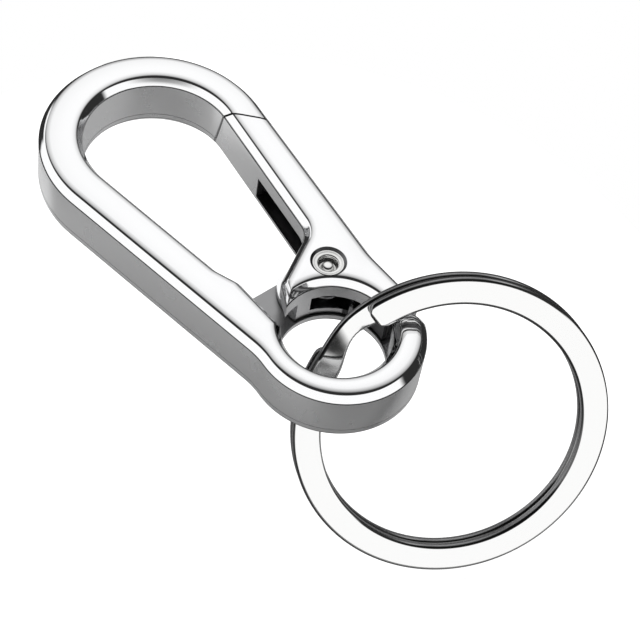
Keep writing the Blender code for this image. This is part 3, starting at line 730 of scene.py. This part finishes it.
def make_chrome(name, recess, recess_shade_colour):
    """Bright chrome over a cast skin: mirror faces that wave a little, satin walls with a painted dark
    line along the chamfer's foot that stands in for its dark reflection, and recesses that are rougher
    and darkened with painted shade."""
    material, tree, shader = new_metal(name, CHROME)
    seen = tree.add("ShaderNodeTexCoord")
    place = seen.outputs["Object"]
    lying = abs(tree.level("ShaderNodeSeparateXYZ", "Z", None, {0: seen.outputs["Normal"]}))
    satin = lying.ramp(*SATIN_TILT)
    # Painted shade: the dark line where the chamfer meets the satin wall.
    edge_shade = lying.ramp(*EDGE_SHADE_FROM) * lying.ramp(*EDGE_SHADE_TO)
    smudge = noise(tree, place, SMUDGE_SIZE).ramp(*SMUDGE_SPREAD)
    scuff = noise(tree, place, SCUFF_SIZE, FINE_DETAIL).ramp(*SCUFF_SPREAD)
    rough = satin * SATIN_ROUGH + smudge * SMUDGE_ROUGH + scuff * SCUFF_ROUGH + MIRROR_ROUGH
    # Recesses: rougher, and darkened with painted shade.
    dull_and_shaded = recess(tree, place)
    colour = tree.blend(dull_and_shaded, tree.blend(edge_shade, CHROME, PAINTED_EDGE_SHADE), recess_shade_colour)
    waves = noise(tree, place, WAVE_SIZE) * WAVE_HEIGHT
    grain = noise(tree, place, GRAIN_SIZE) * satin * GRAIN_HEIGHT
    tree.join(rough + dull_and_shaded * RECESS_ROUGH, shader.inputs["Roughness"])
    tree.join(colour, shader.inputs["Base Color"])
    tree.join(bump(tree, waves + grain), shader.inputs["Normal"])
    return material


def even_out(piece):
    """Splits the broad faces into even triangles, so that the shading crowns them from edge to edge."""
    shape = bmesh.new()
    shape.from_mesh(piece.data)
    broad = [face for face in shape.faces if len(face.verts) > 4]
    bmesh.ops.triangulate(shape, faces=broad, quad_method="BEAUTY", ngon_method="BEAUTY")
    shape.to_mesh(piece.data)
    shape.free()


def finish(piece, material, node, body):
    """Moves a piece to its place in the row frame, shades it, and lets it stand for its CAD node."""
    even_out(piece)
    piece.data.transform(Matrix.Scale(MM, 4) @ Matrix.Translation(CASTING_PLACE))
    piece.data.materials.clear()
    piece.data.materials.append(material)
    piece.data.shade_smooth()
    piece.data.set_sharp_from_angle(angle=SMOOTH_TO)
    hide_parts(node)
    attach(piece, body)


def web_top(tree, place):
    """1 on the web's top face, which lies too deep under the gate's foot to be polished: there it is
    rougher, and darkened with painted shade.
    """
    return within(over_middle(tree, place), WEB_TOP, WEB_TOP, WEB_SKIN_AND_SHADE_REACH)


openings = make_openings()
casting = make_casting(openings)
finish(casting, make_chrome("hook_chrome", web_top, WEB_PAINTED_SHADE), "hook_frame", "frame")

# ---------------------------------------------------------------------------------------------------
# The gate
# Cast and chromed with the hook: a bar with a channel in its inner face for the spring's leg, and a
# foot whose two ears hold the coil between them. It turns on the rivet.
# ---------------------------------------------------------------------------------------------------
SEAM_GAP = 0.2
TAIL_GAP = 0.45
WEB_CLEARANCE = 0.15
WEB_EDGE_CLEARANCE = 0.6
EAR_RADIUS = 4.45
EAR_EDGE_X = 18.5
EAR_END = math.radians(300)
CHANNEL_START = 7.6
CHANNEL_END = 17.5
CHANNEL_DEPTH = 2.2
CHANNEL_LEVELS = -1.9, 0.7
CHAMBER_RADIUS = 2.4
CHAMBER_LEVELS = -0.9, 0.85
PASSAGE_TOP = 2.025
MOUTH_ANGLES = math.radians(113), math.radians(165.5)
MOUTH_DEPTH = 1.95
BORE_RADIUS = 1.17
HEAD_SINK_RADIUS = 1.74
HEAD_SINK_DEPTH = 0.6
FOOT_BOTTOM = WEB_TOP + WEB_CLEARANCE
# Painted shade in the channel, the spring's chamber and the rivet's sink.
RECESS_PAINTED_SHADE = (0.16, 0.16, 0.165)
RECESS_REACH = 0.1
CHANNEL_MOUTH = 0.05, 0.2
CHANNEL_FLOOR = CHANNEL_DEPTH + 0.2, CHANNEL_DEPTH + 0.1
CHAMBER_WALL = CHAMBER_RADIUS + 0.15, CHAMBER_RADIUS + 0.05
HEAD_SINK_WALL = HEAD_SINK_RADIUS + 0.03, HEAD_SINK_RADIUS - 0.03


def gate_ways():
    """Along the gate's inner face towards the foot, and square to it into the bar."""
    touch, along = gate_inner_line()
    return touch, -along, -along * 1j


def channel_corners():
    touch, along, inward = gate_ways()
    start = touch + along * (CHANNEL_START - OPENING_CENTRE)
    end = touch + along * (CHANNEL_END - OPENING_CENTRE)
    return sharp(
        start - inward * PAST,
        end - inward * PAST,
        end + inward * CHANNEL_DEPTH,
        start + inward * CHANNEL_DEPTH,
    )


def passage_corners():
    """The way for the spring's leg from the channel into the chamber round the rivet."""
    touch, along, inward = gate_ways()
    start = touch + along * (CHANNEL_END - OPENING_CENTRE - PAST), inward
    top = RIVET + inward * PASSAGE_TOP
    return sharp(crossing(start, (RIVET, along)), RIVET, top, crossing(start, (top, along)))


def arc_points(centre, radius, start, end):
    steps = math.ceil(abs(end - start) / ARC_STEP)
    turn = (end - start) / steps
    return [centre + radius * direction(start + turn * step) for step in range(steps + 1)]


def mouth_corners():
    """The slot that opens the spring's chamber to the eye, along the eye's round."""
    outer = arc_points(EYE, EYE_HOLE_RADIUS + MOUTH_DEPTH, *MOUTH_ANGLES)
    return sharp(*outer, *arc_points(EYE, EYE_HOLE_RADIUS - PAST, *MOUTH_ANGLES[::-1]))


def ear_start():
    return math.pi + math.acos((RIVET.real - EAR_EDGE_X) / EAR_RADIUS)


def foot_end_relief():
    """Below the front ear, the foot's end is cut back to the lower ear's round."""
    outer = arc_points(RIVET, EAR_RADIUS + FAR, ear_start(), EAR_END)
    inner = arc_points(RIVET, EAR_RADIUS, EAR_END, ear_start())
    return block("foot_end_relief", sharp(*outer, *inner), WEB_TOP - PAST, CHAMBER_LEVELS[1])


def lower_ear(eye_above):
    rim = arc_points(RIVET, EAR_RADIUS, ear_start(), EAR_END)
    corners = sharp(complex(EAR_EDGE_X, RIVET.imag), *rim, RIVET)
    ear = block("lower_ear", corners, FOOT_BOTTOM + FRAME_END_LAND, CHAMBER_LEVELS[0])
    cut(ear, eye_above)
    return ear


def make_gate(openings):
    gate = cast_plate("gate_casting", clip_outline())
    past = HALF + PAST
    zone = block("gate_zone", sharp(*tip_zone(), *foot_zone()), -past, past, -SEAM_GAP)
    lean_seam(zone)
    combine(gate, zone, "INTERSECT")
    relief = foot_end_relief()
    cut(gate, *openings, relief)
    _, _, eye_above, _ = openings
    ear = lower_ear(eye_above)
    combine(gate, ear, "UNION")
    step = WEB_EDGE_X - WEB_EDGE_CLEARANCE
    end = EYE.real + FAR
    under = sharp(step - FAR * 1j, end - FAR * 1j, end + FAR * 1j, step + FAR * 1j)
    tail = direction(TAIL_SEAM_ANGLE)
    head_flare = (HEAD_SINK_RADIUS - BORE_RADIUS) / HEAD_SINK_DEPTH * PAST
    tail_strip = sharp(
        EYE - tail * 1j * PAST,
        EYE - tail * 1j * PAST + tail * FAR,
        EYE + tail * 1j * TAIL_GAP + tail * FAR,
        EYE + tail * 1j * TAIL_GAP,
    )
    tools = (
        block("under_foot", under, -past, FOOT_BOTTOM),
        block("tail_gap", tail_strip, -past, past),
        block("channel", channel_corners(), *CHANNEL_LEVELS),
        tapered_block("spring_chamber", RIVET, (CHAMBER_RADIUS, CHAMBER_RADIUS), CHAMBER_LEVELS),
        block("spring_passage", passage_corners(), CHAMBER_LEVELS[0], CHANNEL_LEVELS[1]),
        block("chamber_mouth", mouth_corners(), *CHAMBER_LEVELS),
        tapered_block("rivet_bore", RIVET, (BORE_RADIUS, BORE_RADIUS), (-past, past)),
        tapered_block(
            "rivet_head_sink",
            RIVET,
            (BORE_RADIUS, HEAD_SINK_RADIUS + head_flare),
            (HALF - HEAD_SINK_DEPTH, past),
        ),
    )
    cut(gate, *tools)
    clear_away(zone, relief, ear, *tools)
    return gate


def gate_recess(tree, place):
    """1 in the channel, the spring's chamber and the sink, where the chrome is thin and rough, and
    darkened with painted shade.
    """
    touch, along, inward = gate_ways()
    height = over_middle(tree, place)
    run = plan_distance(tree, place, touch, along)
    depth = plan_distance(tree, place, touch, inward)
    start = CHANNEL_START - OPENING_CENTRE
    channel = depth.ramp(*CHANNEL_MOUTH) * depth.ramp(*CHANNEL_FLOOR)
    channel = channel * run.ramp(start - RECESS_REACH, start - SKIN_CLEAR)
    channel = channel * within(height, *CHANNEL_LEVELS, RECESS_REACH)
    across = plan_distance(tree, place, RIVET, 1)
    up = plan_distance(tree, place, RIVET, 1j)
    away = (across * across + up * up).root()
    chamber = away.ramp(*CHAMBER_WALL) * within(height, *CHAMBER_LEVELS, RECESS_REACH)
    return channel.most(chamber).most(away.ramp(*HEAD_SINK_WALL))


gate = make_gate(openings)
clear_away(*openings)
finish(gate, make_chrome("gate_chrome", gate_recess, RECESS_PAINTED_SHADE), "gate", "gate")

# ---------------------------------------------------------------------------------------------------
# The hinge rivet
# Nickel-plated and tubular: its head is rolled out into the gate's sink, which leaves a crater with
# the punch's dimple in it, and its tail is set flush in the back of the web.
# ---------------------------------------------------------------------------------------------------
RIVET_PROFILE = (
    (0.0, 2.64),
    (0.28, 2.64),
    (0.42, 2.61),
    (0.53, 2.52),
    (0.6, 2.38),
    (0.65, 2.22),
    (0.7, 2.12),
    (0.78, 2.14),
    (0.84, 2.3),
    (0.88, 2.58),
    (0.92, 2.76),
    (0.98, 2.86),
    (1.06, 2.9),
    (1.16, 2.9),
    (1.32, 2.93),
    (1.42, 2.97),
    (1.47, 2.97),
    (1.49, 2.94),
    (1.38, 2.83),
    (1.1, 2.54),
    (1.1, -2.65),
    (1.6, -3.2),
    (0.0, -3.2),
)
RIVET_SIDES = 96
NICKEL = (0.8, 0.8, 0.79)
NICKEL_MARK_SIZE = 0.4
NICKEL_ROUGH = 0.12, 0.26
NICKEL_DENT_SIZE, NICKEL_DENT_HEIGHT = 0.5, 8.0
MARK_SPREAD = 0.4, 0.8


def make_rivet():
    shape = bmesh.new()
    points = [shape.verts.new((radius, 0, height)) for radius, height in RIVET_PROFILE]
    edges = [shape.edges.new(pair) for pair in zip(points, points[1:])]
    bmesh.ops.spin(
        shape,
        geom=[*points, *edges],
        axis=(0, 0, 1),
        angle=2 * math.pi,
        steps=RIVET_SIDES,
        use_merge=True,
    )
    bmesh.ops.remove_doubles(shape, verts=shape.verts, dist=MERGE)
    bmesh.ops.translate(shape, verts=shape.verts, vec=(RIVET.real, RIVET.imag, 0))
    return solid("rivet", shape)


def drawn_metal(name, colour, mark_size, rough, dent_size, dent_height):
    """A metal in one colour, whose roughness wanders between two levels, over small dents."""
    material, tree, shader = new_metal(name, colour)
    place = tree.add("ShaderNodeTexCoord").outputs["Object"]
    marks = noise(tree, place, mark_size, FINE_DETAIL).ramp(*MARK_SPREAD)
    tree.join(marks * (rough[1] - rough[0]) + rough[0], shader.inputs["Roughness"])
    tree.join(bump(tree, noise(tree, place, dent_size) * dent_height), shader.inputs["Normal"])
    return material


nickel = drawn_metal(
    "rivet_nickel", NICKEL, NICKEL_MARK_SIZE, NICKEL_ROUGH, NICKEL_DENT_SIZE, NICKEL_DENT_HEIGHT
)
finish(make_rivet(), nickel, "hinge_rivet", "frame")

# ---------------------------------------------------------------------------------------------------
# The gate's spring
# Spring-steel wire wound once round the rivet. One leg lies in the gate's channel, and the other is
# hooked over the web's rim, so that the coil pushes the gate shut.
# ---------------------------------------------------------------------------------------------------
WIRE_RADIUS = 0.2
WIRE_SIDES = 16
COIL_RADIUS = 1.65
COIL_PITCH = 0.85
COIL_STEPS = 40
LEG_START = 10.0
ARM_LENGTH = 2.9
HOOK_INSET = 0.35
HOOK_LIFT = 0.2
STEEL = (0.42, 0.42, 0.43)
STEEL_MARK_SIZE = 0.3
STEEL_ROUGH = 0.2, 0.35
STEEL_DENT_SIZE, STEEL_DENT_HEIGHT = 0.08, 2.0


def spring_route():
    start = math.pi / 2 - GATE_INNER_TAPER
    middle = sum(CHAMBER_LEVELS) / 2
    coil = []
    for step in range(COIL_STEPS + 1):
        share = step / COIL_STEPS
        flat = RIVET + COIL_RADIUS * direction(start - 2 * math.pi * share)
        coil.append(Vector((flat.real, flat.imag, middle + COIL_PITCH * (share - 0.5))))
    leg_way = direction(start + math.pi / 2) * (RIVET.real - LEG_START)
    leg = coil[0] + Vector((leg_way.real, leg_way.imag, 0))
    arm_flat = complex(coil[-1].x, coil[-1].y) + direction(start - math.pi / 2) * ARM_LENGTH
    arm = Vector((arm_flat.real, arm_flat.imag, coil[-1].z))
    inward = (arm_flat - EYE) / abs(arm_flat - EYE)
    hook = EYE + inward * (EYE_HOLE_RADIUS - HOOK_INSET)
    hook_top = Vector((hook.real, hook.imag, arm.z - WIRE_RADIUS))
    hook_end = Vector((hook.real, hook.imag, WEB_TOP + HOOK_LIFT))
    return [leg, *coil, arm, hook_top, hook_end]


def along_route(route):
    """A place at each point of a route, with its Z axis halfway between the ways in and out."""
    ways = [(after - before).normalized() for before, after in zip(route, route[1:])]
    places = []
    turned = ways[0].to_track_quat("Z", "Y")
    for index, point in enumerate(route):
        into = ways[max(index - 1, 0)]
        out = ways[min(index, len(ways) - 1)]
        way = (into + out).normalized()
        turned = (turned @ Vector((0, 0, 1))).rotation_difference(way) @ turned
        places.append(Matrix.LocRotScale(point, turned, None))
    return places


def sweep(shape, face, places):
    """Draws a face made at the origin through a row of places, into a closed bar."""
    bmesh.ops.transform(shape, matrix=places[0], verts=face.verts)
    for before, after in zip(places, places[1:]):
        face = draw_out(shape, face, after @ before.inverted())


def make_spring():
    shape = bmesh.new()
    bmesh.ops.create_circle(shape, cap_ends=True, segments=WIRE_SIDES, radius=WIRE_RADIUS)
    sweep(shape, shape.faces[:][0], along_route(spring_route()))
    return solid("spring", shape)


steel = drawn_metal(
    "spring_steel", STEEL, STEEL_MARK_SIZE, STEEL_ROUGH, STEEL_DENT_SIZE, STEEL_DENT_HEIGHT
)
finish(make_spring(), steel, "gate_spring", "frame")

# ---------------------------------------------------------------------------------------------------
# The split ring
# Two turns of flat nickel-plated steel wire, pressed shut, that step over each other between the
# wire's two ends. It hangs through the hook's eye.
# ---------------------------------------------------------------------------------------------------
RING_RADIUS = 15.12
RING_WIDTH = 2.67
RING_THICKNESS = 0.92
RING_TURN_GAP = 0.2
RING_EASE = 0.38
RING_FIRST_END = math.radians(183.1)
RING_JOG_TOP = math.radians(209.1 - 360)
RING_JOG_BOTTOM = math.radians(189.1 - 360)
RING_SECOND_END = math.radians(203.6 - 720)
RING_PINCH = 0.75
RING_PINCH_MIDDLE = math.radians(193.1 - 360)
RING_PINCH_REACH = math.radians(17)
RING_END_ROUND = 0.9
RING_END_SHARES = 0.0, 0.03, 0.08, 0.15, 0.25, 0.4, 0.6, 0.8, 1.0
RING_END_FULLNESS = 0.9
RING_END_DROP = 0.35
RING_END_THIN = 0.7
RING_STEP = math.radians(2)
RING_LINE_ANGLE = math.radians(57.45)
RING_TILT = math.radians(59.9)
RING_ANCHOR = EYE + 0.79 - 1.16j
RING_DROP = 7.21
RING_FACE = (0.84, 0.84, 0.835)
# Painted shade on the ring's rolled corners.
RING_CORNER_PAINTED_SHADE = (0.1, 0.1, 0.1)
# Painted shade: the sides' darker colour stands in for their dark reflection.
RING_SIDE_PAINTED_SHADE = (0.34, 0.34, 0.345)
RING_CORNER_TILT = 0.94, 0.86
RING_SIDE_TILT = 0.7, 0.3
# The side the light falls on, whose rolled corners get no painted shade.
RING_LIT_WAY = Vector((0.634, 0.765, 0.114))
RING_LIT_SPAN = 0.28, 0.12
RING_SCUFF_SIZE = 0.5
RING_SCUFF_SPREAD = 0.55, 0.8
RING_SCUFF_ROUGH = 0.06
RING_FACE_ROUGH = 0.07
RING_SIDE_ROUGH = 0.3
RING_WAVE_SIZE, RING_WAVE_HEIGHT = 3.0, 6.0
RING_GRAIN_SIZE, RING_GRAIN_HEIGHT = 0.2, 1.5


def ring_height(angle):
    """The wire's height over the ring's middle plane. The angle falls from the first end on."""
    share = (RING_JOG_TOP - angle) / (RING_JOG_TOP - RING_JOG_BOTTOM)
    return (RING_THICKNESS + RING_TURN_GAP) / 2 * math.cos(math.pi * min(max(share, 0.0), 1.0))


def ring_pinch(angle):
    """How far the wire's inner edge is drawn in where it steps from one turn to the other."""
    away = min(abs(angle - RING_PINCH_MIDDLE) / RING_PINCH_REACH, 1.0)
    return RING_PINCH * math.cos(math.pi / 2 * away) ** 2


def ring_stations():
    """(angle, shares of the full width and thickness) down the wire, whose two ends are rounded."""
    round_angle = RING_END_ROUND / (RING_RADIUS - RING_WIDTH / 2)
    ends = []
    for share in RING_END_SHARES:
        width = math.sqrt(1 - (1 - share) ** 2 * RING_END_FULLNESS)
        left = max(1 - share * RING_END_ROUND / RING_END_DROP, 0.0)
        ends.append((share, width, math.sqrt(1 - left**2 * RING_END_THIN)))
    first = RING_FIRST_END - round_angle
    last = RING_SECOND_END + round_angle
    steps = math.ceil((first - last) / RING_STEP)
    return [
        *((RING_FIRST_END - round_angle * share, width, thin) for share, width, thin in ends),
        *((first + (last - first) * step / steps, 1.0, 1.0) for step in range(1, steps)),
        *((RING_SECOND_END + round_angle * share, width, thin) for share, width, thin in ends[::-1]),
    ]


def ring_places():
    """Where the wire's section lies at each station: X points outwards, Y up and Z round the ring."""
    places = []
    for angle, width, thin in ring_stations():
        pinch = ring_pinch(angle)
        middle = RING_RADIUS - RING_WIDTH / 2 + pinch / 2
        narrowed = Matrix.Diagonal((width * (1 - pinch / RING_WIDTH), thin, 1, 1))
        stood = Matrix.Rotation(math.pi / 2, 4, "X")
        out = Matrix.Translation((middle, 0, ring_height(angle)))
        places.append(Matrix.Rotation(angle, 4, "Z") @ out @ stood @ narrowed)
    return places


def ring_placing():
    """Where the ring hangs: its plane crosses the hook's on a line in the eye, and tips about it."""
    line_way = direction(RING_LINE_ANGLE)
    along = Vector((line_way.real, line_way.imag, 0))
    across = Vector((line_way.imag, -line_way.real, 0))
    tilt = Matrix.Rotation(RING_TILT, 4, along)
    half_chord = math.sqrt((RING_RADIUS - RING_WIDTH / 2) ** 2 - RING_DROP**2)
    anchor = Vector((RING_ANCHOR.real, RING_ANCHOR.imag, 0))
    return Matrix.Translation(anchor + along * half_chord + (tilt @ across) * RING_DROP) @ tilt


def make_ring():
    shape = bmesh.new()
    half = complex(RING_WIDTH, RING_THICKNESS) / 2
    corners = [(corner, RING_EASE) for corner in (-half, half.conjugate(), half, -half.conjugate())]
    sweep(shape, flat_shape(shape, corners, 0.0), ring_places())
    bmesh.ops.transform(shape, matrix=ring_placing(), verts=shape.verts)
    return solid("split_ring", shape)


def make_ring_nickel():
    """Bright on the wire's ground faces; on its sides rougher and darkened with painted shade, and with
    painted shade on its rolled corners, apart from those on the side that the light falls on."""
    material, tree, shader = new_metal("ring_nickel", RING_FACE)
    seen = tree.add("ShaderNodeTexCoord")
    place = seen.outputs["Object"]
    upright = ring_placing().to_3x3() @ Vector((0, 0, 1))
    lit_way = (RING_LIT_WAY - upright * upright.dot(RING_LIT_WAY)).normalized()
    facing, lit_side = (
        tree.level("ShaderNodeVectorMath", "Value", {"operation": "DOT_PRODUCT"}, pair)
        for pair in ({0: seen.outputs["Normal"], 1: way} for way in (upright, lit_way))
    )
    facing = abs(facing)
    # The sides: rougher, and darkened with painted shade.
    side = facing.ramp(*RING_SIDE_TILT)
    # Painted shade on the rolled corners, away from the lit side.
    corner = facing.ramp(*RING_CORNER_TILT) * lit_side.ramp(*RING_LIT_SPAN)
    colour = tree.blend(side, tree.blend(corner, RING_FACE, RING_CORNER_PAINTED_SHADE), RING_SIDE_PAINTED_SHADE)
    scuff = noise(tree, place, RING_SCUFF_SIZE, FINE_DETAIL).ramp(*RING_SCUFF_SPREAD)
    rough = side * RING_SIDE_ROUGH + scuff * RING_SCUFF_ROUGH + RING_FACE_ROUGH
    waves = noise(tree, place, RING_WAVE_SIZE) * RING_WAVE_HEIGHT
    grain = noise(tree, place, RING_GRAIN_SIZE) * side * RING_GRAIN_HEIGHT
    tree.join(rough, shader.inputs["Roughness"])
    tree.join(colour, shader.inputs["Base Color"])
    tree.join(bump(tree, waves + grain), shader.inputs["Normal"])
    return material


finish(make_ring(), make_ring_nickel(), "split_ring", "ring")
